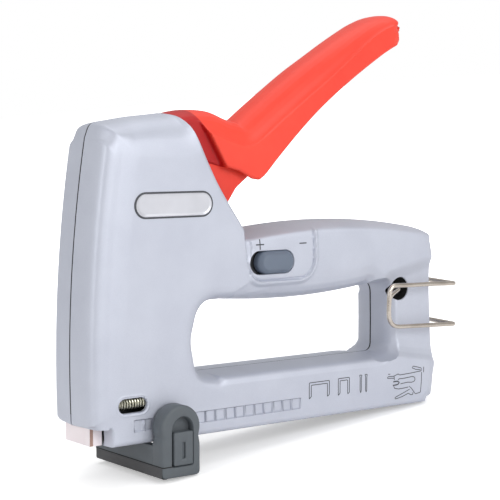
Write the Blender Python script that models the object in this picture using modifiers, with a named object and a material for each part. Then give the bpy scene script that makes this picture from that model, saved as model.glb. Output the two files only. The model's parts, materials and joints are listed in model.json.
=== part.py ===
"""Hand staple gun: two housing halves, squeeze lever, spring-driven striker,
magazine with pusher, force adjuster, wire bail and a clip-on foot.

The tool is modelled in a datum frame in millimetres: X runs from the nose to
the rear, Z up from the lower end of the front seam, Y = 0 on the seam.
An empty then places that frame so that the foot stands on Z = 0.
"""
import bpy
import bmesh
from math import cos, pi, radians, sin
from mathutils import Matrix, Vector

for old in list(bpy.data.objects):
    bpy.data.objects.remove(old, do_unlink=True)

MM = 0.001

# Driving dimensions, in millimetres
length_front, length_rear = -1.0, 191.0     # extreme front of the housing, back of the bail
foot_depth = 20.4                           # underside of the foot below the datum
half_width = 16.5                           # housing, outside
column_half = 12.6                          # rear column, outside
wall = 2.2                                  # die-cast wall
seam_gap = 0.15                             # each half keeps this far from Y = 0
fit_gap = 0.3                               # between neighbouring pieces
rail_bottom = -7.4
opening_floor, opening_rear = 16.2, 154.3
pivot = (44.0, 97.0)                        # squeeze lever, X and Z
lever_swing = 33.0                          # degrees from rest to squeezed
stroke_x = 16.5                             # centre line of the drive spring
arm_drop = radians(lever_swing / 2)         # lever arm starts this far below level
arm_length = (pivot[0] - stroke_x) / cos(arm_drop)
arm_tip = (stroke_x, pivot[1] - arm_length * sin(arm_drop))
bail_pivot = (157.0, 44.6)
bail_hole = (160.4, 44.6, 5.25)             # X, Z, radius
bail_y, bail_wire = 18.0, 1.0
magazine_half, magazine_top = 7.4, 6.5
foot_x = (25.4, 43.1)
foot_wall_x = (25.7, 29.4)                  # front wall of the foot, under the rail
foot_wall_top = -7.9
foot_inner, foot_outer = 17.2, 25.0
knob_x, knob_z = (76.8, 95.2), (55.5, 65.2)
knob_travel = 4.0
screw_places = [(28, 113), (34, 58), (40, 26), (118, 60), (168, 60), (168, 24)]

datum_shift = (-(length_front + length_rear) / 2, 0, foot_depth)


# ---------------------------------------------------------------- scene set-up
def new_collection(name):
    collection = bpy.data.collections.new(name)
    bpy.context.scene.collection.children.link(collection)
    return collection


tool = new_collection("staple_gun")
cutters = new_collection("cutters")


def new_material(name, colour, roughness, metallic):
    mat = bpy.data.materials.new(name)
    mat.use_nodes = True
    shader = mat.node_tree.nodes["Principled BSDF"]
    shader.inputs["Base Color"].default_value = (*colour, 1)
    shader.inputs["Roughness"].default_value = roughness
    shader.inputs["Metallic"].default_value = metallic
    return mat


silver = new_material("silver_paint", (0.60, 0.63, 0.71), 0.38, 0.55)
red = new_material("red_plastic", (0.90, 0.09, 0.05), 0.42, 0.0)
grey = new_material("grey_plastic", (0.11, 0.14, 0.15), 0.50, 0.0)
knob_blue = new_material("knob_plastic", (0.15, 0.18, 0.23), 0.45, 0.0)
bright = new_material("bright_steel", (0.78, 0.75, 0.73), 0.18, 1.0)
steel = new_material("dark_steel", (0.35, 0.35, 0.36), 0.35, 1.0)
zinc = new_material("zinc_wire", (0.72, 0.71, 0.66), 0.25, 1.0)
chrome = new_material("chrome_badge", (0.85, 0.86, 0.88), 0.12, 1.0)
rubber = new_material("black_rubber", (0.03, 0.03, 0.03), 0.80, 0.0)


def joint_empty(name, x=0.0, z=0.0, parent=None):
    """An empty on a joint axis, in the datum frame."""
    empty = bpy.data.objects.new(name, None)
    tool.objects.link(empty)
    empty.parent = parent
    empty.location = Vector((x, 0, z)) * MM
    return empty


datum = joint_empty("datum")
datum.location = Vector(datum_shift) * MM
lever_axis = joint_empty("lever_axis", *pivot, datum)
link_axis = joint_empty("link_axis", *arm_tip, datum)
bail_axis = joint_empty("bail_axis", *bail_pivot, datum)


def attach(obj, parent):
    obj.parent = parent
    if parent is not datum:
        obj.location = -parent.location


def add(obj, mat, parent=None, smooth=True):
    """File a finished sub-part: collection, material, parent and shading."""
    tool.objects.link(obj)
    obj.data.materials.clear()
    obj.data.materials.append(mat)
    attach(obj, parent or datum)
    if smooth:
        obj.data.shade_smooth()
        obj.data.set_sharp_from_angle(angle=radians(35))
    return obj


# ---------------------------------------------------------------- plain shapes
def mesh_object(name, bm):
    for vert in bm.verts:
        vert.co *= MM
    bmesh.ops.recalc_face_normals(bm, faces=bm.faces)
    mesh = bpy.data.meshes.new(name)
    bm.to_mesh(mesh)
    bm.free()
    return bpy.data.objects.new(name, mesh)


def box(name, x, y, z):
    bm = bmesh.new()
    size = Matrix.Diagonal((x[1] - x[0], y[1] - y[0], z[1] - z[0], 1))
    middle = Matrix.Translation(((x[0] + x[1]) / 2, (y[0] + y[1]) / 2, (z[0] + z[1]) / 2))
    bmesh.ops.create_cube(bm, size=1, matrix=middle @ size)
    return mesh_object(name, bm)


def rod(name, x, z, radius, y, sides=24):
    """A cylinder along Y."""
    bm = bmesh.new()
    place = Matrix.Translation((x, (y[0] + y[1]) / 2, z)) @ Matrix.Rotation(pi / 2, 4, "X")
    bmesh.ops.create_cone(bm, cap_ends=True, segments=sides, radius1=radius, radius2=radius,
                          depth=y[1] - y[0], matrix=place)
    return mesh_object(name, bm)


def bar(name, x, y, z, radius, sides=16):
    """A cylinder along X."""
    bm = bmesh.new()
    place = Matrix.Translation(((x[0] + x[1]) / 2, y, z)) @ Matrix.Rotation(pi / 2, 4, "Y")
    bmesh.ops.create_cone(bm, cap_ends=True, segments=sides, radius1=radius, radius2=radius,
                          depth=x[1] - x[0], matrix=place)
    return mesh_object(name, bm)


def disc(name, x, radius, z, sides=24):
    """A cylinder along Z."""
    bm = bmesh.new()
    place = Matrix.Translation((x, 0, (z[0] + z[1]) / 2))
    bmesh.ops.create_cone(bm, cap_ends=True, segments=sides, radius1=radius, radius2=radius,
                          depth=z[1] - z[0], matrix=place)
    return mesh_object(name, bm)


def rounded(corners, steps=4):
    """Corner list (x, z, radius) to an outline with arcs at the corners."""
    outline = []
    for i, (x, z, radius) in enumerate(corners):
        here = Vector((x, z))
        before = Vector(corners[i - 1][:2]) - here
        after = Vector(corners[(i + 1) % len(corners)][:2]) - here
        if radius == 0:
            outline.append(here)
            continue
        half = before.angle(after) / 2
        reach = min(radius / max(1e-6, abs(sin(half) / cos(half))),
                    0.49 * before.length, 0.49 * after.length)
        first, last = here + before.normalized() * reach, here + after.normalized() * reach
        for k in range(steps + 1):
            t = k / steps
            outline.append((1 - t) ** 2 * first + 2 * t * (1 - t) * here + t * t * last)
    return outline


def circle(x, z, radius, start, end, steps):
    """Arc points from angle start to end, in degrees."""
    turns = [radians(start + (end - start) * k / steps) for k in range(steps + 1)]
    return [Vector((x + radius * cos(a), z + radius * sin(a))) for a in turns]


def offset(corners, distance, radius_change):
    """Move a closed corner list to its left side by a distance."""
    moved = []
    for i, (x, z, radius) in enumerate(corners):
        here = Vector((x, z))
        before = (here - Vector(corners[i - 1][:2])).normalized()
        after = (Vector(corners[(i + 1) % len(corners)][:2]) - here).normalized()
        normal = Vector((-before.y, before.x)) + Vector((-after.y, after.x))
        place = here + normal * (2 * distance / normal.length_squared)
        moved.append((place.x, place.y, max(0, radius + radius_change)))
    return moved


def plate(name, outlines, y):
    """Flat outlines in X and Z, the second and later ones holes, from y[0] to y[1]."""
    curve = bpy.data.curves.new(name, "CURVE")
    curve.dimensions = "2D"
    curve.fill_mode = "BOTH"
    curve.extrude = (y[1] - y[0]) / 2 * MM
    for outline in outlines:
        spline = curve.splines.new("POLY")
        spline.points.add(len(outline) - 1)
        for point, corner in zip(spline.points, outline):
            point.co = (corner[0] * MM, corner[1] * MM, 0, 1)
        spline.use_cyclic_u = True
    guide = bpy.data.objects.new(name, curve)
    bpy.context.scene.collection.objects.link(guide)
    bpy.context.view_layer.update()
    graph = bpy.context.evaluated_depsgraph_get()
    mesh = bpy.data.meshes.new_from_object(guide.evaluated_get(graph))
    bpy.data.objects.remove(guide)
    bm = bmesh.new()
    bm.from_mesh(mesh)
    bmesh.ops.remove_doubles(bm, verts=bm.verts, dist=1e-6)
    turn = Matrix.Translation((0, (y[0] + y[1]) / 2 * MM, 0)) @ Matrix.Rotation(pi / 2, 4, "X")
    bmesh.ops.transform(bm, matrix=turn, verts=bm.verts)
    bmesh.ops.recalc_face_normals(bm, faces=bm.faces)
    bm.to_mesh(mesh)
    bm.free()
    mesh.name = name
    return bpy.data.objects.new(name, mesh)


def wire(name, points, radius, mat, parent=None):
    """A round wire along a list of points."""
    curve = bpy.data.curves.new(name, "CURVE")
    curve.dimensions = "3D"
    curve.bevel_depth = radius * MM
    curve.bevel_resolution = 1
    curve.use_fill_caps = True
    spline = curve.splines.new("POLY")
    spline.points.add(len(points) - 1)
    for knot, place in zip(spline.points, points):
        knot.co = (*(Vector(place) * MM), 1)
    obj = bpy.data.objects.new(name, curve)
    tool.objects.link(obj)
    curve.materials.append(mat)
    attach(obj, parent or datum)
    return obj


def eased(path, steps=4):
    """Points (x, y, z, radius) to a path with arcs at the bends."""
    smooth = [Vector(path[0][:3])]
    for i in range(1, len(path) - 1):
        here, radius = Vector(path[i][:3]), path[i][3]
        before = Vector(path[i - 1][:3]) - here
        after = Vector(path[i + 1][:3]) - here
        half = before.angle(after) / 2
        reach = min(radius * abs(cos(half) / sin(half)), 0.49 * before.length, 0.49 * after.length)
        first, last = here + before.normalized() * reach, here + after.normalized() * reach
        for k in range(steps + 1):
            t = k / steps
            smooth.append((1 - t) ** 2 * first + 2 * t * (1 - t) * here + t * t * last)
    smooth.append(Vector(path[-1][:3]))
    return smooth


def combine(obj, other, operation):
    """Boolean with a hidden guide object."""
    cutters.objects.link(other)
    other.parent = datum
    other.hide_render = True
    other.display_type = "WIRE"
    step = obj.modifiers.new(operation.lower(), "BOOLEAN")
    step.operation = operation
    step.object = other
    return obj


def cut(obj, *others):
    for other in others:
        combine(obj, other, "DIFFERENCE")
    return obj


def join(obj, *others):
    for other in others:
        combine(obj, other, "UNION")
    return obj


def round_edges(obj, width, segments=2, angle=50):
    step = obj.modifiers.new("edges", "BEVEL")
    step.width = width * MM
    step.segments = segments
    step.limit_method = "ANGLE"
    step.angle_limit = radians(angle)
    return obj


def span(side, low, high):
    """Y range on one side of the seam: side -1 is the left half, +1 the right."""
    return (low, high) if side > 0 else (-high, -low)


# ---------------------------------------------------------------- housing
def front_x(z):
    """The front leans back along a shallow parabola."""
    return length_front + 0.00093 * (z - 22) ** 2


def crown_z(x):
    """Top of the grip, a shallow arch."""
    return 76.4 - 0.0016 * (x - 120) ** 2


def palm_z(x):
    """Underside of the grip, a shallow arch the other way."""
    return 44.5 + 0.0016 * (x - 102) ** 2


def housing_corners():
    front = [(front_x(z), z, 0) for z in (112, 95, 80, 65, 50, 35, 20, 8)]
    grip = [(x, crown_z(x), 0) for x in (165, 150, 135, 120, 105, 90, 78)]
    rear = [(179.5, rail_bottom, 3), (183, 4, 0), (184, 9.5, 3), (182, 15, 4), (180.6, 34, 0),
            (180.4, 50, 4), (181.8, 58, 3), (179.5, 69.5, 5)]
    head = [(71.5, 74.5, 4), (41, 121.3, 3), (9, 117, 5)]
    lip = [(front_x(0), 0, 0), (7, 0, 0), (7, rail_bottom, 0)]
    return rear + grip + head + front + lip


def opening_corners():
    top = [(x, palm_z(x), 0) for x in (66, 80, 95, 110, 125, 138)]
    corners = [(opening_rear - 0.5, palm_z(146) + 0.6, 8), (opening_rear, opening_floor, 7),
               (51, opening_floor, 7), (48.5, 33, 9), (54, palm_z(58) + 0.4, 8)]
    return corners + top


def housing_half(name, side):
    outer, opening = housing_corners(), opening_corners()
    shell = plate(name, [rounded(outer), rounded(opening, 5)], span(side, seam_gap, half_width))
    inside = [rounded(offset(outer, wall, -wall)), rounded(offset(opening, wall, wall), 5)]
    hollow = plate(name + "_hollow", inside, span(side, -1, half_width - wall))
    cut(hollow, box(name + "_column_wall", (150, 200), span(side, column_half - wall, 30), (17.5, 49.5)))
    lever_slot = plate(name + "_lever_slot",
                       [[(36, 100), (60, 70), (72.5, 77.5), (90, 80), (90, 140), (36, 140)]],
                       span(side, -1, half_width - wall + fit_gap))
    column_flank = plate(name + "_flank",
                         [rounded([(148, 20, 3), (200, 20, 0), (200, 47, 0), (148, 46, 3)], 2)],
                         span(side, column_half, 30))
    cut(shell, column_flank, hollow, lever_slot)
    inner = half_width - wall + 0.6
    for i, (x, z) in enumerate(screw_places):
        depth = column_half - wall + 0.6 if in_column(x, z) else inner
        join(shell, rod(f"{name}_boss_{i}", x, z, 4.8, span(side, seam_gap, depth), 16))
    join(shell,
         rod(name + "_pin_boss", *pivot, 5.2, span(side, 12.3, inner), 20),
         box(name + "_buffer_rib", (10, 21), span(side, 0.5, inner), (31, 35.7)),
         box(name + "_seat_rib", (12, 21), span(side, 0.5, inner), (112.8, 117)))
    cut(shell,
        rod(name + "_pin_bore", *pivot, 2.8, span(side, 11, 14.6), 20),
        rod(name + "_bail_bore", *bail_hole, span(side, -1, 30), 28),
        box(name + "_nose_way", (1.5, 9.2), span(side, -1, 9.4), (-9, 3.2)),
        box(name + "_magazine_way", (6, 175), span(side, -1, 8.0), (-9, -4.0)),
        box(name + "_knob_way", (171, 190), span(side, -1, 7.3), (-4.9, 8.9)))
    return shell


def left_housing():
    shell = housing_half("left_housing", -1)
    for i, (x, z) in enumerate(screw_places):
        cut(shell, rod(f"left_bore_{i}", x, z, 1.75, (-9.4 if in_column(x, z) else -11.5, 1), 12))
    return cut(shell, window_cutter(-1),
               plate("badge_pocket", [stadium(17.3, 55.0, 80.3, 91.3)], (-30, -15.6)),
               plate("knob_slot", [stadium(knob_x[0] - knob_travel - fit_gap, knob_x[1] + fit_gap,
                                           knob_z[0] - fit_gap, knob_z[1] + fit_gap)], (-30, -13)))


def right_housing():
    shell = housing_half("right_housing", 1)
    for i, (x, z) in enumerate(screw_places):
        seat = screw_seat(x, z)
        cut(shell, rod(f"right_bore_{i}", x, z, 1.75, (-1, 20), 12),
            rod(f"head_bore_{i}", x, z, 3.5, (seat, 20), 16))
    return cut(shell, window_cutter(1))


def stadium(x0, x1, z0, z1, steps=6):
    """Outline with two half-round ends."""
    r = (z1 - z0) / 2
    return circle(x1 - r, z0 + r, r, -90, 90, steps) + circle(x0 + r, z0 + r, r, 90, 270, steps)


def window_cutter(side):
    return plate("window_%d" % side, [stadium(10.8, 24.0, 5.4, 11.4)], span(side, 13, 30))


def in_column(x, z):
    return x > opening_rear and opening_floor < z < 46


def screw_seat(x, z):
    """Y of the shoulder under a screw head; the column is narrower."""
    return 9.1 if in_column(x, z) else 13.0


def screw(name, x, z):
    seat = screw_seat(x, z) + fit_gap
    body = rod(name, x, z, 3.1, (seat, seat + 2.6), 16)
    join(body, rod(name + "_shank", x, z, 1.4, (-9 if in_column(x, z) else -11, seat + 0.5), 12))
    cut(body, rod(name + "_socket", x, z, 1.5, (seat + 1.2, seat + 4), 6))
    return add(body, steel)


def badge_plate():
    body = plate("badge_plate", [stadium(17.6, 54.7, 80.6, 91.0, 8)], (-17.3, -15.9))
    return add(body, chrome)


# ---------------------------------------------------------------- nose and striker
def nose_front_plate():
    return add(box("nose_front_plate", (2.2, 3.4), (-9, 9), (-7, 30)), bright, smooth=False)


def nose_guide():
    body = box("nose_guide", (3.7, 7.7), (-9, 9), (-7, 30))
    cut(body, box("blade_way", (3, 5.2), (-5.5, 5.5), (-8, 31)),
        box("feed_way", (4, 9), (-5.5, 5.5), (-6, 2)))
    return add(body, bright, smooth=False)


def driver_blade():
    body = box("driver_blade", (3.8, 4.9), (-5.2, 5.2), (-5.5, 50))
    return add(body, steel, smooth=False)


def striker_carrier():
    body = box("striker_carrier", (5.2, 23), (-6.2, 6.2), (44, 52))
    join(body, rod("carrier_lugs", stroke_x, 49.5, 1.6, (-10.2, 10.2), 12))
    return add(body, steel, smooth=False)


def striker_buffer():
    return add(box("striker_buffer", (9, 22.5), (-6, 6), (36, 43.7)), rubber, smooth=False)


def spring_seat():
    body = disc("spring_seat", stroke_x, 6.4, (109.8, 112.5))
    join(body, disc("seat_spigot", stroke_x, 3.4, (105, 110), 16))
    return add(body, steel)


def coil(turns, per_turn, place):
    """Points along a coil; place gives a point from the turn's angle and the share run."""
    count = round(turns * per_turn)
    return [place(2 * pi * turns * k / count, k / count) for k in range(count + 1)]


def drive_spring():
    low, high = 53.4, 108.4
    points = coil(10, 9, lambda a, t: (stroke_x + 5.1 * cos(a), 5.1 * sin(a), low + (high - low) * t))
    return wire("drive_spring", points, 1.0, zinc)


# ---------------------------------------------------------------- lever and handle
def lever_insert():
    tip = circle(*arm_tip, 4.2, 100, 250, 5)
    hub = circle(*pivot, 7.5, 250, 290, 2)
    outline = tip + hub + [Vector(p) for p in
                           [(62, 97.5), (84, 102.5), (112, 124.5), (108, 128.5), (80, 108.8), (62, 106)]]
    outline += [Vector((50, 105))] + circle(*pivot, 7.8, 80, 110, 2)
    body = plate("lever_insert", [outline], (-8.2, 8.2))
    cut(body, plate("lever_gap", [[(0, 70), (47, 70), (90, 90), (120, 120), (113, 127.5), (107, 125.6),
                                   (80.5, 107), (62, 104.3), (54, 103.6), (52, 125), (0, 125)]], (-6.6, 6.6)),
        rod("lever_bore", *pivot, 2.8, (-12, 12), 20),
        rod("stud_bore", *arm_tip, 1.8, (-12, 12), 16))
    return add(body, steel, lever_axis, smooth=False)


def lever_pin():
    body = rod("lever_pin", *pivot, 2.5, (-14.3, 14.3), 20)
    return add(body, bright)


def link_stud(name, side):
    body = rod(name, *arm_tip, 1.5, span(side, 6.6, 10.4), 12)
    join(body, rod(name + "_head", *arm_tip, 2.8, span(side, 10.1, 11.0), 12))
    return add(body, steel, lever_axis)


def lifter_link(name, side):
    low = 49.5
    outline = circle(*arm_tip, 4, 0, 180, 6) + circle(stroke_x, low, 5.5, 180, 360, 6)
    body = plate(name, [outline], span(side, 8.5, 9.7))
    cut(body, rod(name + "_eye", *arm_tip, 1.8, (-12, 12), 16),
        box(name + "_slot", (stroke_x - 2.1, stroke_x + 3.4), (-12, 12), (low - 2.1, low + 2.1)))
    return add(body, steel, link_axis, smooth=False)


def return_spring():
    def turn(angle, share):
        return (pivot[0] + 4.4 * cos(-angle), -4.6 + 9.2 * share, pivot[1] + 4.4 * sin(-angle))
    points = coil(5.25, 9, turn)
    tail = Vector(points[-1])
    return wire("return_spring", [(60, -4.6, 101.4)] + points + [tail + Vector((-10, 0, -2))],
                0.6, zinc, lever_axis)


# Stations along the handle: X, underside, side crest, crown, half-width, all in millimetres
handle_stations = [
    (36.8, 106.5, 118.5, 121.0, 11.0), (44, 104.8, 119.5, 122.6, 11.2), (52, 103.0, 119.0, 122.8, 11.4),
    (55, 101.8, 117.8, 122.4, 13.0), (62, 100.6, 116.0, 120.8, 13.2), (70, 98.6, 113.4, 119.0, 13.2),
    (80, 94.8, 110.2, 118.8, 13.2), (84, 96.4, 110.6, 121.6, 13.2), (95, 106.6, 118.2, 130.4, 13.2),
    (110, 120.0, 129.2, 140.8, 13.2), (125, 131.4, 140.0, 149.8, 13.2), (140, 141.4, 150.2, 158.0, 13.2),
    (152, 148.8, 157.8, 163.6, 12.6), (160, 152.0, 161.0, 165.4, 10.6), (166, 154.4, 161.6, 164.6, 7.0)]


def handle_section(x, low, crest, crown, half, inset=0.0, drop=0.0):
    """A half-round arch on straight sides, as points round the section."""
    half, crest, crown = half - inset, crest - inset * 0.6, crown - inset
    arch = [(half * cos(pi * k / 8), crest + (crown - crest) * sin(pi * k / 8)) for k in range(9)]
    return [(x, half, low - drop)] + [(x, y, z) for y, z in arch] + [(x, -half, low - drop)]


def loft(name, sections):
    """Skin a list of equal sections and close both ends."""
    bm = bmesh.new()
    rings = [[bm.verts.new(point) for point in section] for section in sections]
    count = len(rings[0])
    for one, two in zip(rings, rings[1:]):
        for k in range(count):
            bm.faces.new((one[k], one[(k + 1) % count], two[(k + 1) % count], two[k]))
    bm.faces.new(rings[0])
    bm.faces.new(list(reversed(rings[-1])))
    return mesh_object(name, bm)


def handle_shell():
    body = loft("handle_shell", [handle_section(*row) for row in handle_stations])
    stations = [(38.6,) + handle_stations[0][1:]] + handle_stations[1:-1]
    stations[-1] = (161.5,) + stations[-1][1:]
    hollow = loft("handle_hollow", [handle_section(*row[:4], min(row[4], 11.2), 2.2, 12) for row in stations])
    cut(body, hollow)
    web = [(50, 107), (50, 91), (57, 84.5), (68.5, 84.8), (74, 91.2), (80.5, 96.4), (80, 106), (62, 110)]
    join(body, plate("handle_web", [web], (-10.4, 10.4)))
    cut(body, plate("web_gap", [[(40, 110), (40, 70), (90, 70), (90, 106), (62, 111)]], (-8.7, 8.7)))
    return add(body, red, lever_axis)


# ---------------------------------------------------------------- magazine
def magazine_channel():
    body = box("magazine_channel", (9.5, 174), (-magazine_half, magazine_half), (-6.6, magazine_top))
    cut(body, box("channel_gap", (8, 176), (-6.4, 6.4), (-8, magazine_top - 1)),
        box("channel_slot", (20, 180), (-2.2, 2.2), (0, 10)))
    return add(body, steel, smooth=False)


def staple_rail():
    return add(box("staple_rail", (9.5, 172), (-4.4, 4.4), (-6.2, 1.4)), steel, smooth=False)


def pusher():
    body = box("pusher", (24, 42), (-6.1, 6.1), (-4, 5.2))
    cut(body, box("pusher_gap", (20, 50), (-4.8, 4.8), (-6, 1.8)))
    join(body, box("pusher_tab", (30, 36), (-1.7, 1.7), (4, 10.6)),
         rod("pusher_bar", 33, 9.2, 1.2, (-12.4, 12.4), 10))
    return add(body, steel, smooth=False)


def pusher_rod():
    return add(bar("pusher_rod", (42.3, 175.7), 0, 3.6, 1.5, 12), bright)


def magazine_knob():
    body = box("magazine_knob", (176, 182.6), (-6.8, 6.8), (-4.4, 8.4))
    return add(round_edges(body, 1.2), grey)


def pusher_spring(name, side):
    points = coil(11, 8, lambda a, t: (11 + 19.8 * t, side * 10.3 + 2.2 * cos(a), 8.6 + 2.2 * sin(a)))
    return wire(name, points, 0.55, zinc)


# ---------------------------------------------------------------- adjuster, bail and foot
def adjuster_knob():
    body = plate("adjuster_knob", [stadium(*knob_x, *knob_z, 8)], (-18.6, -12.8))
    return add(round_edges(body, 0.9, 2, 60), knob_blue)


def adjuster_bar():
    return add(box("adjuster_bar", (60, 104), (-12.5, -10.7), (53, 67)), steel, smooth=False)


def wire_bail():
    """One wire: a pivot bar through the column, and a squared loop behind the tool."""
    near, far, over = -bail_y, bail_y, -bail_y - 2.4
    top, low, back = 46.6, 28.1, 190.0
    route = [(150.0, over, 36.5, 0), (149.8, over, top, 7.5), (164, over, top, 12), (172, near, top, 12),
             (back, near, top, 3), (back, far, top, 3), (158.5, far, top, 8), (158.5, far, low, 8),
             (back, far, low, 3), (back, near, low, 3), (149.0, near, low, 8), (149.6, near, 44.6, 5),
             (bail_pivot[0], near, bail_pivot[1], 2.5), (bail_pivot[0], 10, bail_pivot[1], 0)]
    return wire("wire_bail", eased(route, 5), bail_wire, bright, bail_axis)


def foot_outline():
    x0, x1 = foot_x
    head = circle(34.2, -1.0, 8.9, -35, 215, 16)
    return [Vector(p) for p in [(x0 + 1.5, -foot_depth), (x1 - 1.5, -foot_depth), (x1, -foot_depth + 1.5),
                                (x1, -9)]] + head + [Vector((x0, -9)), Vector((x0, -foot_depth + 1.5))]


def foot_clip():
    body = box("foot_clip", (foot_x[0] + 0.4, foot_x[1] - 0.4), (-20, 20), (-foot_depth, -16.2))
    for side in (-1, 1):
        ear = plate("ear_%d" % side, [foot_outline()], span(side, foot_inner, foot_outer))
        join(body, ear)
    join(body, box("foot_wall", foot_wall_x, (-18, 18), (-18, foot_wall_top)))
    for side in (-1, 1):
        window = [Vector((29.9, -2.4)), Vector((39.5, -2.4))] + circle(34.7, -1.6, 4.8, 0, 180, 8)
        cut(body, plate("ear_window_%d" % side, [window], span(side, 20, 30)),
            box("ear_recess_%d" % side, (30.0, 39.9), span(side, 22.4, 30), (-15.9, -2.2)))
    return add(body, grey)


def foot_latch(name, side):
    body = box(name, (30.4, 39.5), span(side, 22.8, 25.3), (-15.5, -2.5))
    cut(body, box(name + "_groove", (34.2, 35.7), span(side, 24.6, 30), (-13, -7)))
    return add(round_edges(body, 0.5), grey, smooth=False)


# ---------------------------------------------------------------- assembly
def build():
    add(left_housing(), silver)
    add(right_housing(), silver)
    for i, (x, z) in enumerate(screw_places):
        screw("housing_screw_%d" % (i + 1), x, z)
    badge_plate()
    for make in (nose_front_plate, nose_guide, driver_blade, striker_carrier, striker_buffer,
                 spring_seat, drive_spring, lever_insert, lever_pin, return_spring, handle_shell,
                 magazine_channel, staple_rail, pusher, pusher_rod, magazine_knob,
                 adjuster_knob, adjuster_bar, wire_bail, foot_clip):
        make()
    for word, side in (("left", -1), ("right", 1)):
        link_stud("link_stud_" + word, side)
        lifter_link("lifter_link_" + word, side)
        pusher_spring("pusher_spring_" + word, side)
        foot_latch("foot_latch_" + word, side)


build()
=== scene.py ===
import json
from math import cos, pi, radians, sin

import bmesh
import bpy
import numpy as np
from mathutils import Matrix, Vector


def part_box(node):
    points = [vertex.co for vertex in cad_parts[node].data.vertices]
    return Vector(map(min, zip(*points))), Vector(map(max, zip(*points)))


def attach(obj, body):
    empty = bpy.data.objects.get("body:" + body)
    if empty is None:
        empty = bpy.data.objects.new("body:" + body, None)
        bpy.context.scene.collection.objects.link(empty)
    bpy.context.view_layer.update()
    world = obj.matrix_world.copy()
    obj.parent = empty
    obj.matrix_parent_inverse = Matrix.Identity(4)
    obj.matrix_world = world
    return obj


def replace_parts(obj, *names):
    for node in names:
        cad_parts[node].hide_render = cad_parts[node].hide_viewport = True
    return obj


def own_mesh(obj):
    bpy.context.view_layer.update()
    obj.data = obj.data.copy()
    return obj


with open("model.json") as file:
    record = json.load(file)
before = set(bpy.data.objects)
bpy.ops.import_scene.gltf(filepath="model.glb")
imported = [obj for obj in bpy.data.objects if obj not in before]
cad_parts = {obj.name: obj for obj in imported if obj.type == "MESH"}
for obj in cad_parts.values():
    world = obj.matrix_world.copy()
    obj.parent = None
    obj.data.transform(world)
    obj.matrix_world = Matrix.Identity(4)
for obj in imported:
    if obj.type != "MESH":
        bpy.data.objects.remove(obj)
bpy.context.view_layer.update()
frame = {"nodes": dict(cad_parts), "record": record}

mm = 0.001
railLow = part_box("left_housing")[0]
# The drawing's zero is the lower end of the front seam, on the mid-plane; sizes below are in millimetres
zero = np.array([railLow[0] + 1.0 * mm, 0.0, railLow[2] + 7.4 * mm])


# Drawing millimetres to the frame's metres
def toRow(points):
    return np.asarray(points, float) * mm + zero


# One socket of a material, so that sums on it read as sums
class Flow:
    def __init__(self, paint, socket):
        self.paint, self.socket = paint, socket

    def maths(self, how, other):
        return self.paint.node("ShaderNodeMath", {"operation": how}, [self, other])

    def __add__(self, other):
        return self.maths("ADD", other)

    def __sub__(self, other):
        return self.maths("SUBTRACT", other)

    def __mul__(self, other):
        return self.maths("MULTIPLY", other)

    __radd__ = __add__
    __rmul__ = __mul__


# A material with its Principled shader, and one method that adds any node
class Paint:
    def __init__(self, name, colour, roughness, metallic, **fixed):
        self.material = bpy.data.materials.new(name)
        self.material.use_nodes = True
        self.tree = self.material.node_tree
        self.shader = self.tree.nodes["Principled BSDF"]
        self.feed("Base Color", linear(colour))
        self.feed("Roughness", roughness)
        self.feed("Metallic", metallic)
        for socket, value in fixed.items():
            self.feed(socket.replace("_", " "), value)
        self.spot = self.node("ShaderNodeTexCoord", {}, {}, "Object")

    def node(self, kind, settings, inputs, output=0):
        made = self.tree.nodes.new(kind)
        for key, value in settings.items():
            setattr(made, key, value)
        for key, value in (inputs.items() if isinstance(inputs, dict) else enumerate(inputs)):
            self.plug(made.inputs[key], value)
        return Flow(self, made.outputs[output])

    def plug(self, socket, value):
        if isinstance(value, Flow):
            self.tree.links.new(value.socket, socket)
        else:
            socket.default_value = value

    def feed(self, socket, value):
        self.plug(self.shader.inputs[socket], value)

    def noise(self, scale, detail):
        return self.node("ShaderNodeTexNoise", {}, {"Vector": self.spot, "Scale": scale, "Detail": detail})

    def blend(self, share, first, second):
        return self.node("ShaderNodeMix", {"data_type": "RGBA"},
                         {"Factor": share, 6: linear(first), 7: linear(second)}, 2)

    # Value from 0 to 1 between two limits
    def ramp(self, value, low, high):
        return self.node("ShaderNodeMapRange", {}, {"Value": value, "From Min": low, "From Max": high})

    def bump(self, height, strength, distance):
        self.feed("Normal", self.node("ShaderNodeBump", {},
                                      {"Height": height, "Strength": strength, "Distance": distance}))


# 0-255 display colour to the linear colour that shaders use
def linear(colour):
    c = np.array(colour[:3], float) / 255
    return (*np.where(c <= 0.04045, c / 12.92, ((c + 0.055) / 1.055) ** 2.4), 1.0)


silver = {"light": (198, 202, 214), "dark": (188, 192, 205), "roughness": 0.5, "metallic": 0.4}


# Metallic paint on the castings: fine flake, slow clouds and a thin satin coat
def silverPaint():
    p = Paint("silverPaint", silver["light"], silver["roughness"], silver["metallic"],
              Coat_Weight=0.12, Coat_Roughness=0.35)
    cloud = p.noise(60, 4)
    flake = p.noise(5200, 1)
    share = p.ramp(cloud * 0.5 + flake * 0.5, 0.35, 0.65)
    p.feed("Base Color", p.blend(share, silver["dark"], silver["light"]))
    p.feed("Roughness", silver["roughness"] + 0.06 * (cloud - 0.5))
    p.bump(flake + 0.4 * p.noise(1400, 2), 0.10, 0.0001)
    return p.material


# Moulded plastic with a fine spark-eroded grain and slightly uneven gloss; cover may lay a colour over it,
# such as the painted shadow on the handle's neck
def plastic(name, colour, shade, roughness, grain, cover=None):
    p = Paint(name, colour, roughness, 0.0, Specular_IOR_Level=0.45)
    own = p.blend(p.ramp(p.noise(45, 3), 0.3, 0.7), shade, colour)
    p.feed("Base Color", cover(p, own) if cover else own)
    p.feed("Roughness", roughness + 0.08 * (p.noise(220, 3) - 0.5))
    p.bump(p.noise(3000, 2), grain, 0.0001)
    return p.material


# Painted shadow on the handle's recessed neck: its deep red, and the leaning edge where it ends
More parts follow.
